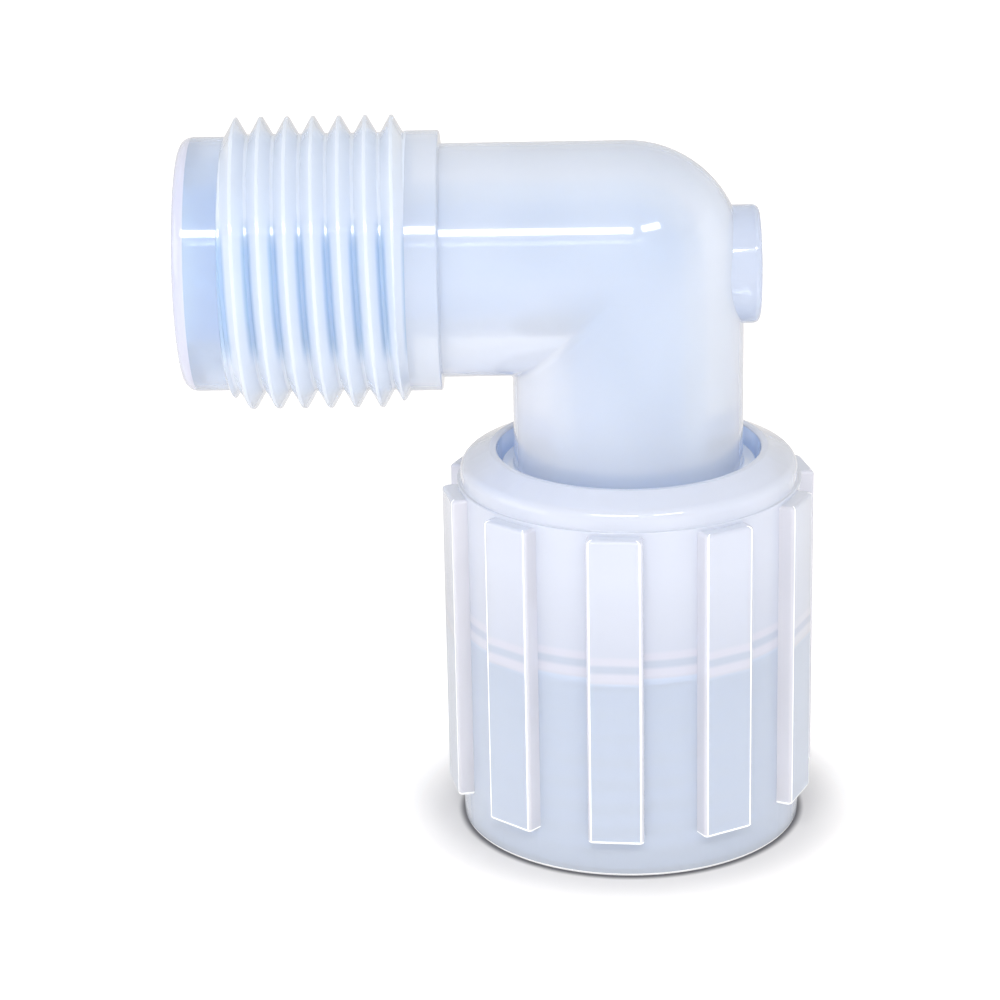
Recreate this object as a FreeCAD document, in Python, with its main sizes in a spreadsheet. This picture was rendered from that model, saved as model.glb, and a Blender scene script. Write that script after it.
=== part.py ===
"""Moulded fluoropolymer elbow for half-inch tube, with a captive swivel union nut.

The origin is the centre of the nut's mouth, which the fitting stands on. +Z runs up the nut
and the vertical pipe, and the threaded leg points along -X. Sizes are in millimetres.
"""
import FreeCAD, Part
import math
import os

import Sketcher

# driving sizes

SIZES = {
    # pipe and corner
    "pipe_diameter": 19.05,
    "bore_diameter": 9.5,
    "leg_height": 48.9,
    "corner_round": 0.6,
    # threaded leg, measured out from the vertical axis
    "collar_face": 15.15,
    "collar_length": 2.6,
    "collar_diameter": 21.2,
    "thread_length": 14.8,
    "nose_length": 3.65,
    "nose_diameter": 20.7,
    "nose_round": 1.0,
    "socket_diameter": 12.9,
    "socket_depth": 16.0,
    "mouth_bevel": 0.5,
    # thread form, 15/16-12 with 60 degree flanks
    "thread_diameter": 23.8,
    "thread_pitch": 2.117,
    "thread_depth": 1.4,
    "flank_angle": 30.0,
    "root_flat": 0.25,
    "thread_start": 0.15,
    # gate boss on the outside of the bend
    "gate_diameter": 9.7,
    "gate_stand": 1.25,
    "gate_drop": 0.7,
    "gate_round": 0.6,
    # spigot inside the nut
    "sleeve_diameter": 21.2,
    "sleeve_recess": 1.4,
    "flange_diameter": 23.5,
    "flange_thickness": 2.3,
    "flange_bevel": 0.4,
    # swivel nut
    "nut_height": 32.8,
    "skirt_diameter": 28.7,
    "ring_diameter": 28.1,
    "ring_length": 2.6,
    "ring_lip": 0.6,
    "ring_crown": 1.2,
    "ring_round": 0.6,
    "seat_height": 16.5,
    "mouth_lead": 0.2,
    "nut_turn": -6.0,
    # grip ribs
    "rib_count": 10,
    "rib_width": 4.6,
    "rib_across": 30.94,
    "rib_bottom": 3.4,
    "rib_top_gap": 0.3,
    # running clearances between spigot and nut, and of the thread
    "hole_gap": 0.4,
    "flange_gap": 0.35,
    "flange_play": 0.15,
    "thread_gap": 0.15,
    "crest_gap": 0.25,
}

# how far a cutting profile reaches past the surface that it opens
OVERCUT = 0.4

# how deep a rib is rooted in the nut's wall
RIB_ROOT = 1.0

# how far from a named place an edge may lie and still be the one that is meant
NEAR = 0.01


def make_sheet(doc):
    """Puts the driving sizes in the spreadsheet, one aliased cell each."""
    sheet = doc.addObject("Spreadsheet::Sheet", "sizes")
    for row, (name, value) in enumerate(SIZES.items(), start=1):
        sheet.set(f"A{row}", name)
        sheet.set(f"B{row}", str(value))
        sheet.setAlias(f"B{row}", name)
    doc.recompute()
    return sheet


def origin_plane(body, role):
    """One of the body's own origin planes."""
    return next(item for item in body.Origin.OriginFeatures if item.Role == role)


def section(body, name, role, corners, lift=None):
    """A closed outline with straight sides, every corner placed by two expressions.

    lift, where given, moves the sketch along its own upright axis.
    """
    sketch = body.newObject("Sketcher::SketchObject", name)
    sketch.AttachmentSupport = [(origin_plane(body, role), "")]
    sketch.MapMode = "FlatFace"
    if lift:
        sketch.setExpression("AttachmentOffset.Base.y", lift)
    count = len(corners)
    ring = [FreeCAD.Vector(math.cos(math.tau * i / count), math.sin(math.tau * i / count), 0)
            for i in range(count)]
    for i in range(count):
        sketch.addGeometry(Part.LineSegment(ring[i], ring[(i + 1) % count]), False)
    for i in range(count):
        sketch.addConstraint(Sketcher.Constraint("Coincident", i, 2, (i + 1) % count, 1))
    for i, (across, up) in enumerate(corners):
        for kind, expression in (("DistanceX", across), ("DistanceY", up)):
            index = sketch.addConstraint(Sketcher.Constraint(kind, -1, 1, i, 1, 1.0))
            sketch.setExpression(f"Constraints[{index}]", expression)
    return sketch


def revolve(body, name, kind, sketch, axis):
    """Turns a section a full turn about one of its sketch axes, adding or cutting."""
    feature = body.newObject(kind, name)
    feature.Profile = sketch
    feature.ReferenceAxis = (sketch, [axis])
    feature.Angle = 360
    return feature


def helix(body, name, sketch, axis, length):
    """Cuts a groove along a right-hand helix of the thread's pitch."""
    feature = body.newObject("PartDesign::SubtractiveHelix", name)
    feature.Profile = sketch
    feature.ReferenceAxis = (sketch, [axis])
    feature.Mode = "pitch-height-angle"
    feature.setExpression("Pitch", "sizes.thread_pitch")
    feature.setExpression("Height", length)
    return feature


def ball(body, name, kind, radius):
    """A ball at the crossing of the two pipe axes."""
    feature = body.newObject(kind, name)
    feature.AttachmentSupport = [(origin_plane(body, "XY_Plane"), "")]
    feature.MapMode = "FlatFace"
    feature.setExpression("AttachmentOffset.Base.z", "sizes.leg_height")
    feature.setExpression("Radius", radius)
    return feature


def round_edges(body, name, radius, wanted):
    """Rounds the edges of the body's shape so far that the given test picks."""
    base = body.Tip
    edges = [f"Edge{i}" for i, edge in enumerate(base.Shape.Edges, start=1) if wanted(edge)]
    if not edges:
        raise RuntimeError(f"{name}: no edge to round")
    feature = body.newObject("PartDesign::Fillet", name)
    feature.Base = (base, edges)
    feature.setExpression("Radius", radius)
    return feature


def is_crotch(edge):
    """Picks the two halves of the seam where the leg meets the vertical pipe."""
    return not edge.Degenerated and isinstance(edge.Curve, Part.Ellipse)


def circle_test(axis, place, radius):
    """Picks full circles of one radius, square to an axis, at one place along it."""
    def test(edge):
        if edge.Degenerated or not isinstance(edge.Curve, Part.Circle):
            return False
        centre = getattr(edge.BoundBox.Center, axis)
        return abs(centre - place) < NEAR and abs(edge.Curve.Radius - radius) < NEAR
    return test


# the elbow: leg, bend and spigot in one moulding

# places along the leg, as distances from the vertical axis
THREAD_INNER = "(sizes.collar_face + sizes.collar_length)"
THREAD_OUTER = f"({THREAD_INNER} + sizes.thread_length)"
NOSE_END = f"({THREAD_OUTER} + sizes.nose_length)"

# heights on the spigot
SLEEVE_TOP = "(sizes.nut_height - sizes.sleeve_recess)"
FLANGE_BOTTOM = "(sizes.seat_height + sizes.flange_play)"
FLANGE_TOP = f"({FLANGE_BOTTOM} + sizes.flange_thickness)"


def elbow_outside(body):
    """Leg with collar, thread band and nose, ball corner, spigot with sleeve and flange."""
    pipe = "sizes.pipe_diameter / 2"
    collar = "sizes.collar_diameter / 2"
    crest = "sizes.thread_diameter / 2"
    nose = "sizes.nose_diameter / 2"
    slope = "tan(sizes.flank_angle * 1 deg)"
    leg = section(body, "leg_section", "XZ_Plane", [
        ("0", "0"),
        ("0", pipe),
        ("-sizes.collar_face", pipe),
        ("-sizes.collar_face", collar),
        (f"-{THREAD_INNER}", collar),
        (f"-{THREAD_INNER} - ({crest} - {collar}) * {slope}", crest),
        (f"-{THREAD_OUTER} + ({crest} - {nose}) * {slope}", crest),
        (f"-{THREAD_OUTER}", nose),
        (f"-{NOSE_END}", nose),
        (f"-{NOSE_END}", "0"),
    ], lift="sizes.leg_height")
    revolve(body, "leg", "PartDesign::Revolution", leg, "H_Axis")

    ball(body, "bend", "PartDesign::AdditiveSphere", pipe)

    sleeve = "sizes.sleeve_diameter / 2"
    flange = "sizes.flange_diameter / 2"
    spigot = section(body, "spigot_section", "XZ_Plane", [
        ("0", "sizes.leg_height"),
        (pipe, "sizes.leg_height"),
        (pipe, SLEEVE_TOP),
        (sleeve, SLEEVE_TOP),
        (sleeve, FLANGE_TOP),
        (flange, FLANGE_TOP),
        (flange, f"{FLANGE_BOTTOM} + sizes.flange_bevel"),
        (f"{flange} - sizes.flange_bevel", FLANGE_BOTTOM),
        ("0", FLANGE_BOTTOM),
    ])
    revolve(body, "spigot", "PartDesign::Revolution", spigot, "V_Axis")


def gate_boss(body):
    """Round pad left by the mould's gate, on the outside of the bend opposite the leg."""
    face = "(sizes.pipe_diameter / 2 + sizes.gate_stand)"
    outline = section(body, "gate_section", "XZ_Plane", [
        ("0", "0"),
        (face, "0"),
        (face, "sizes.gate_diameter / 2"),
        ("0", "sizes.gate_diameter / 2"),
    ], lift="sizes.leg_height - sizes.gate_drop")
    revolve(body, "gate", "PartDesign::Revolution", outline, "H_Axis")


def leg_thread(body):
    """Helical V groove cut along the leg's band, from past the nose to past the collar."""
    half_root = "sizes.root_flat / 2"
    root = "(sizes.thread_diameter / 2 - sizes.thread_depth)"
    crest = "sizes.thread_diameter / 2"
    flare = "sizes.thread_depth * tan(sizes.flank_angle * 1 deg)"
    start = f"-{THREAD_OUTER} - sizes.thread_start - sizes.thread_pitch"
    groove = section(body, "groove_section", "XZ_Plane", [
        (f"{start} - {half_root}", root),
        (f"{start} + {half_root}", root),
        (f"{start} + {half_root} + {flare}", crest),
        (f"{start} + {half_root} + {flare}", f"{crest} + {OVERCUT}"),
        (f"{start} - {half_root} - {flare}", f"{crest} + {OVERCUT}"),
        (f"{start} - {half_root} - {flare}", crest),
    ], lift="sizes.leg_height")
    length = "sizes.thread_length + sizes.thread_start + sizes.thread_pitch"
    helix(body, "leg_groove", groove, "H_Axis", length)


def elbow_bores(body):
    """Tube socket and bore in the leg, bore in the spigot, and their meeting at the bend."""
    socket = "sizes.socket_diameter / 2"
    bore = "sizes.bore_diameter / 2"
    stop = f"(-{NOSE_END} + sizes.socket_depth)"
    leg = section(body, "leg_bore_section", "XZ_Plane", [
        ("0", "0"),
        ("0", bore),
        (f"{stop} + {socket} - {bore}", bore),
        (stop, socket),
        (f"-{NOSE_END} + sizes.mouth_bevel", socket),
        (f"-{NOSE_END}", f"{socket} + sizes.mouth_bevel"),
        (f"-{NOSE_END} - {OVERCUT}", f"{socket} + sizes.mouth_bevel"),
        (f"-{NOSE_END} - {OVERCUT}", "0"),
    ], lift="sizes.leg_height")
    revolve(body, "leg_bore", "PartDesign::Groove", leg, "H_Axis")

    spigot = section(body, "spigot_bore_section", "XZ_Plane", [
        ("0", "sizes.leg_height"),
        (bore, "sizes.leg_height"),
        (bore, f"{FLANGE_BOTTOM} + sizes.mouth_bevel"),
        (f"{bore} + sizes.mouth_bevel", FLANGE_BOTTOM),
        (f"{bore} + sizes.mouth_bevel", f"{FLANGE_BOTTOM} - {OVERCUT}"),
        ("0", f"{FLANGE_BOTTOM} - {OVERCUT}"),
    ])
    revolve(body, "spigot_bore", "PartDesign::Groove", spigot, "V_Axis")

    ball(body, "bend_bore", "PartDesign::SubtractiveSphere", bore)


def elbow_body(doc, sheet):
    """The whole elbow moulding."""
    body = doc.addObject("PartDesign::Body", "elbow_body")
    body.Label = "elbow_body"
    elbow_outside(body)
    doc.recompute()
    round_edges(body, "crotch", "sizes.corner_round", is_crotch)
    gate_boss(body)
    doc.recompute()
    gate_face = sheet.pipe_diameter / 2 + sheet.gate_stand
    round_edges(body, "gate_rim", "sizes.gate_round",
                circle_test("x", gate_face, sheet.gate_diameter / 2))
    doc.recompute()
    nose_end = sheet.collar_face + sheet.collar_length + sheet.thread_length + sheet.nose_length
    round_edges(body, "nose_rim", "sizes.nose_round",
                circle_test("x", -nose_end, sheet.nose_diameter / 2))
    leg_thread(body)
    elbow_bores(body)
    doc.recompute()
    return body


# the swivel nut: a ribbed shell with a thick lip, a flange chamber and a female thread

SHOULDER = f"({FLANGE_TOP} + sizes.flange_play)"
RING_BOTTOM = "(sizes.nut_height - sizes.ring_length)"
RIM_TOP = "(sizes.nut_height - sizes.ring_crown)"
THREAD_CREST = "(sizes.thread_diameter / 2 - sizes.thread_depth + sizes.crest_gap)"
THREAD_ROOT = "(sizes.thread_diameter / 2 + sizes.thread_gap)"


def nut_wall(body):
    """Turned form of the nut: skirt, crowned ring, lip hole, flange chamber, bore and mouth."""
    skirt = "sizes.skirt_diameter / 2"
    ring = "sizes.ring_diameter / 2"
    hole = "(sizes.sleeve_diameter / 2 + sizes.hole_gap)"
    chamber = "(sizes.flange_diameter / 2 + sizes.flange_gap)"
    mouth = f"({THREAD_ROOT} + sizes.mouth_lead)"
    outline = section(body, "wall_section", "XZ_Plane", [
        (mouth, "0"),
        (skirt, "0"),
        (skirt, RING_BOTTOM),
        (ring, RING_BOTTOM),
        (ring, RIM_TOP),
        (f"{hole} + sizes.ring_lip", "sizes.nut_height"),
        (hole, "sizes.nut_height"),
        (hole, SHOULDER),
        (chamber, SHOULDER),
        (chamber, "sizes.seat_height"),
        (THREAD_CREST, "sizes.seat_height"),
        (THREAD_CREST, f"{mouth} - {THREAD_CREST}"),
    ])
    revolve(body, "wall", "PartDesign::Revolution", outline, "V_Axis")


def nut_ribs(body):
    """Grip ribs with flat outer faces and parallel sides, evenly round the nut."""
    half = "sizes.rib_width / 2"
    inner = f"-(sizes.skirt_diameter / 2 - {RIB_ROOT})"
    outer = "-sizes.rib_across / 2"
    outline = section(body, "rib_section", "XY_Plane", [
        (f"-{half}", inner),
        (f"-{half}", outer),
        (half, outer),
        (half, inner),
    ])
    outline.setExpression("AttachmentOffset.Base.z", "sizes.rib_bottom")
    rib = body.newObject("PartDesign::Pad", "rib")
    rib.Profile = outline
    rib.setExpression("Length", f"{RING_BOTTOM} - sizes.rib_top_gap - sizes.rib_bottom")
    ribs = body.newObject("PartDesign::PolarPattern", "ribs")
    ribs.Originals = [rib]
    ribs.Axis = (outline, ["N_Axis"])
    ribs.Angle = 360
    ribs.setExpression("Occurrences", "sizes.rib_count")
    body.Tip = ribs


def nut_thread(body):
    """Helical V groove cut outward from the nut's bore, matching the leg's thread."""
    half_root = "sizes.root_flat / 2"
    flare = f"({THREAD_ROOT} - {THREAD_CREST}) * tan(sizes.flank_angle * 1 deg)"
    start = "-sizes.thread_pitch"
    groove = section(body, "thread_section", "XZ_Plane", [
        (THREAD_ROOT, f"{start} - {half_root}"),
        (THREAD_ROOT, f"{start} + {half_root}"),
        (THREAD_CREST, f"{start} + {half_root} + {flare}"),
        (f"{THREAD_CREST} - {OVERCUT}", f"{start} + {half_root} + {flare}"),
        (f"{THREAD_CREST} - {OVERCUT}", f"{start} - {half_root} - {flare}"),
        (THREAD_CREST, f"{start} - {half_root} - {flare}"),
    ])
    length = "sizes.seat_height + 1.5 * sizes.thread_pitch"
    helix(body, "nut_groove", groove, "V_Axis", length)


def swivel_nut(doc, sheet):
    """The whole nut, turned on its axis to where the ribs stand."""
    body = doc.addObject("PartDesign::Body", "swivel_nut")
    body.Label = "swivel_nut"
    nut_wall(body)
    doc.recompute()
    round_edges(body, "ring_rim", "sizes.ring_round",
                circle_test("z", sheet.nut_height - sheet.ring_crown, sheet.ring_diameter / 2))
    nut_ribs(body)
    nut_thread(body)
    body.Placement = FreeCAD.Placement(FreeCAD.Vector(), FreeCAD.Rotation(FreeCAD.Vector(0, 0, 1), 0))
    body.setExpression("Placement.Rotation.Angle", "sizes.nut_turn")
    doc.recompute()
    return body


def check(doc, parts):
    """Stops with a message if any object failed or any sub-part is not one sound solid."""
    for item in doc.Objects:
        if "Invalid" in item.State or "Error" in item.State:
            raise RuntimeError(f"{item.Name} failed: {item.State}")
    for part in parts:
        shape = part.Shape
        if shape.isNull() or not shape.isValid() or len(shape.Solids) != 1:
            raise RuntimeError(f"{part.Label} is not one sound solid")


def main():
    doc = FreeCAD.newDocument("elbow_fitting")
    sheet = make_sheet(doc)
    parts = [elbow_body(doc, sheet), swivel_nut(doc, sheet)]
    check(doc, parts)
    os.makedirs("parts", exist_ok=True)
    for part in parts:
        part.Shape.exportStep(f"parts/{part.Label}.step")
        print(part.Label, "volume", round(part.Shape.Volume, 1), "faces", len(part.Shape.Faces))


main()
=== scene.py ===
"""Moulded fluoropolymer tube elbow with a captive swivel nut, standing on a pale table.

The fitting's frame is loaded first. Each operator then makes one piece of it, or the stage.
The origin is the centre of the nut's mouth, +Z runs up the nut and the threaded leg points along -X.
"""

import math

import bmesh
import bpy
import numpy as np
from mathutils import Matrix, Vector


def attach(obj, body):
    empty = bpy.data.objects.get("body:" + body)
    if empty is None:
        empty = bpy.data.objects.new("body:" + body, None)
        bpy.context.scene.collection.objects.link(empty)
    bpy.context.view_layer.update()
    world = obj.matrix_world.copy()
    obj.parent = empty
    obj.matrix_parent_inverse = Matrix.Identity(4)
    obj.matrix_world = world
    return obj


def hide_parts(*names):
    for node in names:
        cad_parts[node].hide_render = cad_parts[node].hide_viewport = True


bl_info = {
    "name": "Tube elbow",
    "version": (1, 0, 0),
    "blender": (4, 5, 0),
    "location": "3D View > Sidebar > Tube elbow",
    "description": "Builds a moulded tube elbow with its swivel nut, and a small studio",
    "category": "Add Mesh",
}

MM = 0.001
FULL_TURN = 2 * math.pi

# vertices nearer than this are one vertex, which closes the seams of a skin
WELD = 0.002 * MM

# faces that meet at more than this angle meet at a sharp edge
SHARP = math.radians(35)

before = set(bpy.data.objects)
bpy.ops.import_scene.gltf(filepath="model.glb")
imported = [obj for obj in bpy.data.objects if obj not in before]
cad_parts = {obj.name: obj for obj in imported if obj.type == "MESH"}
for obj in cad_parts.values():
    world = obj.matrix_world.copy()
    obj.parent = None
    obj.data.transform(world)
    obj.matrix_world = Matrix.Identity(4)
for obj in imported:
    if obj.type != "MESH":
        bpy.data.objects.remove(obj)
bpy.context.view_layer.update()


# properties

def length(label, text, mm):
    """A size in millimetres, as a length property."""
    return bpy.props.FloatProperty(name=label, description=text, default=mm * MM,
                                   subtype="DISTANCE", unit="LENGTH", precision=5)


def shade(label, text, code):
    """A colour property, given as a hex code."""
    return bpy.props.FloatVectorProperty(name=label, description=text, default=srgb(code),
                                         subtype="COLOR", size=4, min=0, max=1)


def srgb(code):
    """A colour written as an sRGB hex code, in the linear numbers that shaders take."""
    parts = [int(code[i:i + 2], 16) / 255 for i in (1, 3, 5)]
    return (*[p / 12.92 if p <= 0.04045 else ((p + 0.055) / 1.055) ** 2.4 for p in parts], 1.0)


class ElbowSizes(bpy.types.PropertyGroup):
    """Sizes of the elbow moulding. Places on the leg are distances from the vertical axis."""
    height: length("Leg height", "Height of the leg's axis over the table", 48.9)
    pipe: length("Pipe radius", "Outer radius of the two pipes", 9.525)
    bore: length("Bore radius", "Radius of the flow passage", 4.75)
    corner: length("Corner round", "Round of the inside corner", 0.6)
    collar_face: length("Collar face", "Where the collar's back face stands", 15.15)
    collar: length("Collar radius", "Outer radius of the collar", 10.6)
    band_inner: length("Thread start", "Where the collar ends and the thread starts", 17.75)
    band_outer: length("Thread end", "Where the thread ends and the nose starts", 32.55)
    nose_end: length("Nose end", "Where the nose ends", 36.2)
    nose: length("Nose radius", "Outer radius of the plain nose", 10.35)
    nose_round: length("Nose round", "Round of the nose's rim", 1.0)
    socket: length("Socket radius", "Radius of the tube socket", 6.45)
    socket_depth: length("Socket depth", "How deep a tube goes in", 16.0)
    mouth_bevel: length("Mouth bevel", "Lead at the open ends of the bores", 0.5)
    first_crest: length("First crest", "Where the outermost crest stands at the top", 31.6415)
    gate: length("Gate radius", "Radius of the round pad opposite the leg", 4.85)
    gate_face: length("Gate face", "Distance of the pad's face from the vertical axis", 10.775)
    gate_drop: length("Gate drop", "How far the pad lies below the leg's axis", 0.7)
    gate_round: length("Gate round", "Round of the pad's rim", 0.6)
    sleeve: length("Sleeve radius", "Radius of the sleeve inside the nut", 10.6)
    sleeve_top: length("Sleeve top", "Height of the sleeve's shoulder", 31.4)
    flange: length("Flange radius", "Radius of the flange that holds the nut", 11.75)
    flange_top: length("Flange top", "Height of the flange's upper face", 18.95)
    flange_foot: length("Flange foot", "Height of the sealing face", 16.65)
    flange_bevel: length("Flange bevel", "Bevel of the flange's lower rim", 0.4)
    edge: length("Edge round", "Small round that moulded edges have", 0.18)


class NutSizes(bpy.types.PropertyGroup):
    """Sizes of the swivel nut."""
    height: length("Height", "Height of the nut", 32.8)
    skirt: length("Skirt radius", "Radius of the wall between the ribs", 14.35)
    ring: length("Ring radius", "Radius of the plain ring on top", 14.05)
    ring_foot: length("Ring foot", "Height of the ring's lower edge", 30.2)
    ring_lip: length("Ring lip", "Width of the ring's flat lip round the hole", 0.6)
    ring_crown: length("Ring crown", "How far the ring's top falls to its rim", 1.2)
    ring_round: length("Ring round", "Round of the ring's rim", 1.0)
    hole: length("Hole radius", "Radius of the hole that the sleeve turns in", 11.0)
    shoulder: length("Shoulder height", "Height of the face that holds the flange", 19.1)
    chamber: length("Chamber radius", "Radius of the room round the flange", 12.1)
    seat: length("Seat height", "Height of the floor of the flange's room", 16.5)
    thread_crest: length("Thread crest", "Radius over the inner thread's crests", 10.75)
    thread_root: length("Thread root", "Radius of the inner thread's roots", 12.05)
    mouth: length("Mouth radius", "Radius of the open end", 12.25)
    rib_count: bpy.props.IntProperty(name="Ribs", description="How many ribs stand round the nut",
                                     default=10, min=3, max=24)
    rib_half: length("Rib half width", "Half the width of a rib", 2.3)
    rib_face: length("Rib face", "Distance of a rib's flat face from the axis", 15.47)
    rib_foot: length("Rib foot", "Height of the ribs' lower ends", 3.4)
    rib_top: length("Rib top", "Height of the ribs' upper ends", 29.9)
    edge: length("Edge round", "Small round that moulded edges have", 0.3)
    zone: length("Zone height", "Height at which the wall turns bluer, under the flange's rims", 17.65)
    turn: bpy.props.FloatProperty(name="Turn", description="How far the nut is turned on its axis",
                                  default=math.radians(-6.0), subtype="ANGLE", unit="ROTATION")


class ThreadSizes(bpy.types.PropertyGroup):
    """Form of both threads, 15/16-12 with 60 degree flanks."""
    radius: length("Crest radius", "Radius over the leg thread's crests", 11.9)
    pitch: length("Pitch", "Distance from crest to crest", 2.117)
    depth: length("Depth", "Depth of the leg's thread", 1.4)
    root_flat: length("Root flat", "Width of the flat at a groove's root", 0.25)
    flank: bpy.props.FloatProperty(name="Flank angle", description="Angle of one flank",
                                   default=math.radians(30), subtype="ANGLE", unit="ROTATION")


class Finish(bpy.types.PropertyGroup):
    """Colours of the moulded fluoropolymer, first the elbow's and then the nut's. Some are painted
    light:
    the inside corner's emission, the flange's light lines and shade, and the nut's white edges.
    """
    wall: shade("Wall", "Tint of a solid wall", "#E6EEFA")
    # painted light: colour of the emission that brightens the elbow's wall towards the inside corner
    corner: shade("Inside corner", "Tint of the milkiest wall, at the inside corner", "#FCF0F4")
    groove: shade("Groove", "Tint of the thin wall at the thread's roots", "#C8E2FF")
    bore: shade("Bore", "Tint of a wall round the flow passage", "#A8D4FF")
    socket: shade("Socket", "Tint of a wall round the wider tube socket", "#80C4FF")
    sleeve: shade("Sleeve", "Tint of the thick, milky foot inside the nut", "#EFF5FF")
    nose: shade("Nose", "Tint of the plain nose", "#DCE8FB")
    rim: shade("Nose rim", "Tint of the nose's rim", "#DEDFF0")
    gate: shade("Gate", "Tint of the round pad", "#D8E2F6")
    nut: shade("Nut wall", "Tint of the nut's wall", "#E8EBF4")
    nut_middle: shade("Nut middle", "Tint of the nut's wall just over the flange", "#DCDFE8")
    nut_low: shade("Nut foot", "Tint of the nut's wall round its thread", "#DEE8F8")
    # painted light and painted shade: light lines where the flange's rims lie behind the nut's wall, and
    # the shade between them
    flange_painted_light: shade("Flange line", "Light line where the flange's rims show through the nut", "#E4E3EB")
    flange_painted_shade: shade("Flange shade", "Shade between the flange's rims", "#CED4E1")
    rib_side: shade("Rib side", "Tint of the ribs' milky sides", "#E6E6EE")
    # painted highlight: the white of the self-lit lines on the nut's edges
    edge: shade("Edge", "Tint of the nut's bright edges", "#FFFFFF")
    nut_bore: shade("Nut bore", "Tint of the nut's hole and room", "#CFE1FF")
    nut_thread: shade("Nut thread", "Tint of the nut's threaded inside", "#D0E2FF")


class StageSizes(bpy.types.PropertyGroup):
    """The camera and the table."""
    distance: length("Camera distance", "Distance from the camera to its aim", 272.88)
    aim_x: length("Aim X", "Where the camera aims, along X", -10.78)
    aim_z: length("Aim Z", "Where the camera aims, in height", 28.057)
    lens: bpy.props.FloatProperty(name="Lens", description="Focal length of the camera",
                                  default=117.3, subtype="DISTANCE_CAMERA", unit="CAMERA")
    azimuth: bpy.props.FloatProperty(name="Azimuth", description="Camera's turn to the right",
                                     default=math.radians(0.961), subtype="ANGLE", unit="ROTATION")
    elevation: bpy.props.FloatProperty(name="Elevation", description="Camera's angle above level",
                                       default=math.radians(19.661), subtype="ANGLE", unit="ROTATION")
    roll: bpy.props.FloatProperty(name="Roll", description="Camera's lean",
                                  default=math.radians(-1.197), subtype="ANGLE", unit="ROTATION")
    sheet: shade("Table", "Colour of the table", "#E9E7E6")
    # painted shadow: the dark ring drawn on the table close round the nut's foot
    painted_contact_shadow: shade("Contact line", "Colour of the table close to the nut's foot", "#77777C")


# profiles and skins

def soften(corners, steps=5):
    """Rounds the corners of a profile. A corner is (along, out, radius of its round)."""
    path = []
    for i, (along, out, radius) in enumerate(corners):
        here = Vector((along, out))
        if not radius:
            path.append(here)
            continue
        before = (Vector(corners[i - 1][:2]) - here).normalized()
        after = (Vector(corners[i + 1][:2]) - here).normalized()
        half = before.angle(after) / 2
        centre = here + (before + after).normalized() * radius / math.sin(half)
        reach = radius / math.tan(half)
        start = (here + before * reach - centre).normalized()
        end = (here + after * reach - centre).normalized()
        path += [centre + radius * start.slerp(end, k / steps) for k in range(steps + 1)]
    return [tuple(point) for point in path]


def ramp(value, ease):
    """Clamps a value to 0 and 1, with both corners eased over a short stretch."""
    low = np.clip(value + ease, 0, 2 * ease) ** 2 / (4 * ease)
    high = np.clip(1 + ease - value, 0, 2 * ease) ** 2 / (4 * ease)
    return np.where(value < 0.5, np.where(value < ease, low, value),
                    np.where(value > 1 - ease, 1 - high, value))


# the corners of a thread are eased over this share of a flank
EASE = 0.05


def thread_rows(form, depth):
    """Offsets from a crest's centre at which one pitch of thread gets its rows."""
    flank = depth * math.tan(form.flank)
    root = form.pitch / 2
    crest = root - form.root_flat / 2 - flank
    ease = EASE * flank
    side = [0, crest - ease, crest - ease / 2, crest, crest + ease / 2, crest + ease,
            crest + flank / 3, crest + 2 * flank / 3,
            crest + flank - ease, crest + flank - ease / 2, crest + flank, crest + flank + ease / 2]
    side = [offset for offset in side if 0 <= offset < root]
    return sorted([-offset for offset in side if offset] + side) + [root]


def thread_depth(form, depth, offset):
    """How deep below the crest a thread is, at an offset from the nearest crest's centre."""
    flank = depth * math.tan(form.flank)
    crest = form.pitch / 2 - form.root_flat / 2 - flank
    near = np.abs((offset + form.pitch / 2) % form.pitch - form.pitch / 2)
    return depth * ramp((near - crest) / flank, EASE)


def skin(name, rows, marks):
    """A mesh through rows of points. marks holds the material of the band that starts at each row."""
    wide = len(rows[0])
    points = np.concatenate(rows)
    faces = [(i * wide + j, i * wide + j + 1, (i + 1) * wide + j + 1, (i + 1) * wide + j)
             for i in range(len(rows) - 1) for j in range(wide - 1)]
    mesh = bpy.data.meshes.new(name)
    mesh.from_pydata(points.tolist(), [], faces)
    mesh.polygons.foreach_set("material_index", np.repeat(marks[:len(rows) - 1], wide - 1))
    return mesh


def close_up(mesh):
    """Welds a skin's seams, drops faces without area and points every face outwards."""
    work = bmesh.new()
    work.from_mesh(mesh)
    bmesh.ops.remove_doubles(work, verts=work.verts, dist=WELD)
    bmesh.ops.dissolve_degenerate(work, dist=WELD / 2, edges=work.edges)
    bmesh.ops.recalc_face_normals(work, faces=work.faces)
    work.to_mesh(mesh)
    open_edges = sum(not edge.is_manifold for edge in work.edges)
    work.free()
    if open_edges:
        raise RuntimeError(f"{mesh.name}: {open_edges} edges are open")
    mesh.polygons.foreach_set("use_smooth", [True] * len(mesh.polygons))


def place(name, mesh, *materials):
    """Puts a mesh in the scene, with its materials in order."""
    obj = bpy.data.objects.new(name, mesh)
    for material in materials:
        mesh.materials.append(material)
    bpy.context.collection.objects.link(obj)
    return obj


def settle(obj):
    """Replaces an object's mesh by what its modifiers make of it, and removes them."""
    shaped = obj.evaluated_get(bpy.context.evaluated_depsgraph_get())
    mesh = bpy.data.meshes.new_from_object(shaped)
    obj.modifiers.clear()
    obj.data = mesh


def even_shading(obj):
    """Shades rounds smoothly and flats flat, and keeps the edges that are truly sharp."""
    obj.data.set_sharp_from_angle(angle=SHARP)
    obj.modifiers.new("even_shading", "WEIGHTED_NORMAL").keep_sharp = True
    settle(obj)


# nodes

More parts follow.
